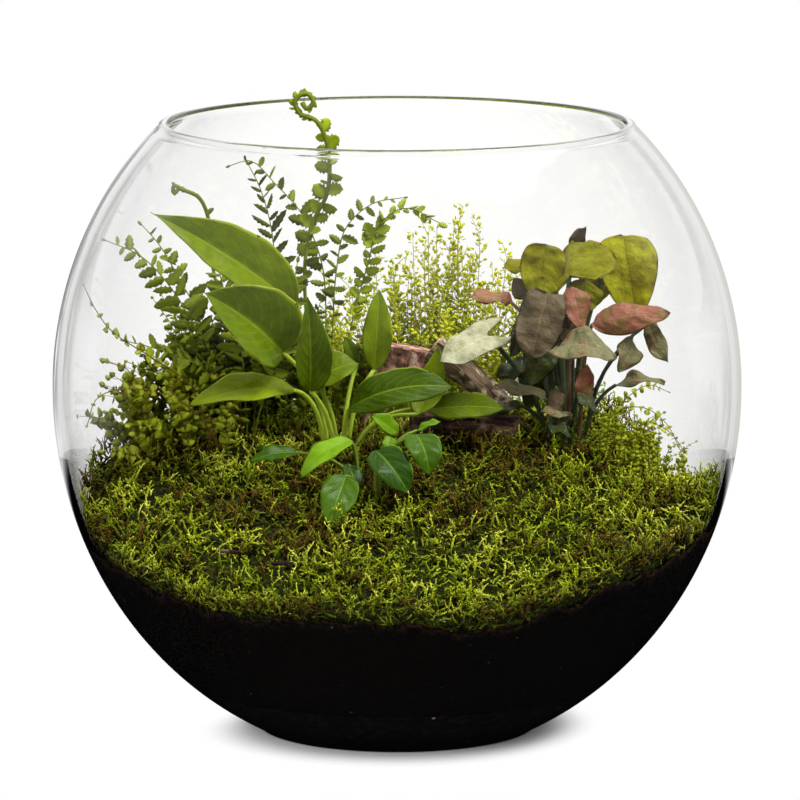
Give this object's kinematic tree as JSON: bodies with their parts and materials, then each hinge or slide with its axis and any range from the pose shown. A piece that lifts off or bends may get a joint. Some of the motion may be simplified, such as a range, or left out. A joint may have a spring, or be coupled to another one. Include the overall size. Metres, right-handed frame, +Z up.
{
  "type": "glass plant terrarium",
  "caption": "Round open-topped glass bowl terrarium: soil under a mound of moss, planted with broad-leaved plants, ferns, spike moss and a pink and olive arrowhead vine.",
  "frame": {"origin": "middle of the foot of the bowl, on the surface it stands on", "axes": "+Z up; the front, where the moss lies lowest, faces -Y; +X is to the right as seen from the front"},
  "size_m": [0.2998, 0.2998, 0.2723],
  "materials": {
    "glass": "polished",
    "gravel": "matte",
    "soil": "matte",
    "moss": "matte",
    "bark": "matte",
    "twig": "matte",
    "lily_leaf": "satin",
    "young_leaf": "gloss",
    "arrowhead_olive": "satin",
    "arrowhead_pink": "satin",
    "arrowhead_taupe": "satin",
    "arrowhead_pale": "satin",
    "arrowhead_sage": "satin",
    "fern": "matte",
    "trailing": "satin",
    "spike_moss": "matte"
  },
  "bodies": {
    "root": {"glass_bowl": "glass", "drainage_gravel": "gravel", "soil": "soil", "moss_carpet": "moss", "bark_slab": "bark", "driftwood_limb": "bark", "driftwood_root": "bark", "twig_1": "twig", "twig_2": "twig", "peace_lily_leaf_1": "lily_leaf", "peace_lily_leaf_2": "lily_leaf", "peace_lily_leaf_3": "lily_leaf", "peace_lily_leaf_4": "lily_leaf", "peace_lily_leaf_5": "lily_leaf", "peace_lily_leaf_6": "lily_leaf", "peace_lily_leaf_7": "lily_leaf", "peace_lily_leaf_8": "lily_leaf", "peace_lily_leaf_9": "lily_leaf", "peace_lily_leaf_10": "lily_leaf", "young_plant_stem_1": "young_leaf", "young_plant_stem_2": "young_leaf", "young_plant_stem_3": "young_leaf", "arrowhead_stem_1": "arrowhead_olive", "arrowhead_stem_2": "arrowhead_olive", "arrowhead_stem_3": "arrowhead_taupe", "arrowhead_stem_4": "arrowhead_pink", "arrowhead_stem_5": "arrowhead_pink", "arrowhead_stem_6": "arrowhead_pale", "arrowhead_stem_7": "arrowhead_sage", "arrowhead_stem_8": "arrowhead_sage", "fern_frond_1": "fern", "fern_frond_2": "fern", "fern_frond_3": "fern", "fern_frond_4": "fern", "fern_frond_5": "fern", "fern_frond_6": "fern", "fern_frond_7": "fern", "fern_frond_8": "fern", "fern_frond_9": "fern", "fern_frond_10": "fern", "fern_frond_11": "fern", "trailing_stem_1": "trailing", "trailing_stem_2": "trailing", "low_sprig_1": "trailing", "low_sprig_2": "trailing", "low_sprig_3": "trailing", "spike_moss_1": "spike_moss", "spike_moss_2": "spike_moss", "spike_moss_3": "spike_moss", "spike_moss_4": "spike_moss"}
  },
  "joints": []
}
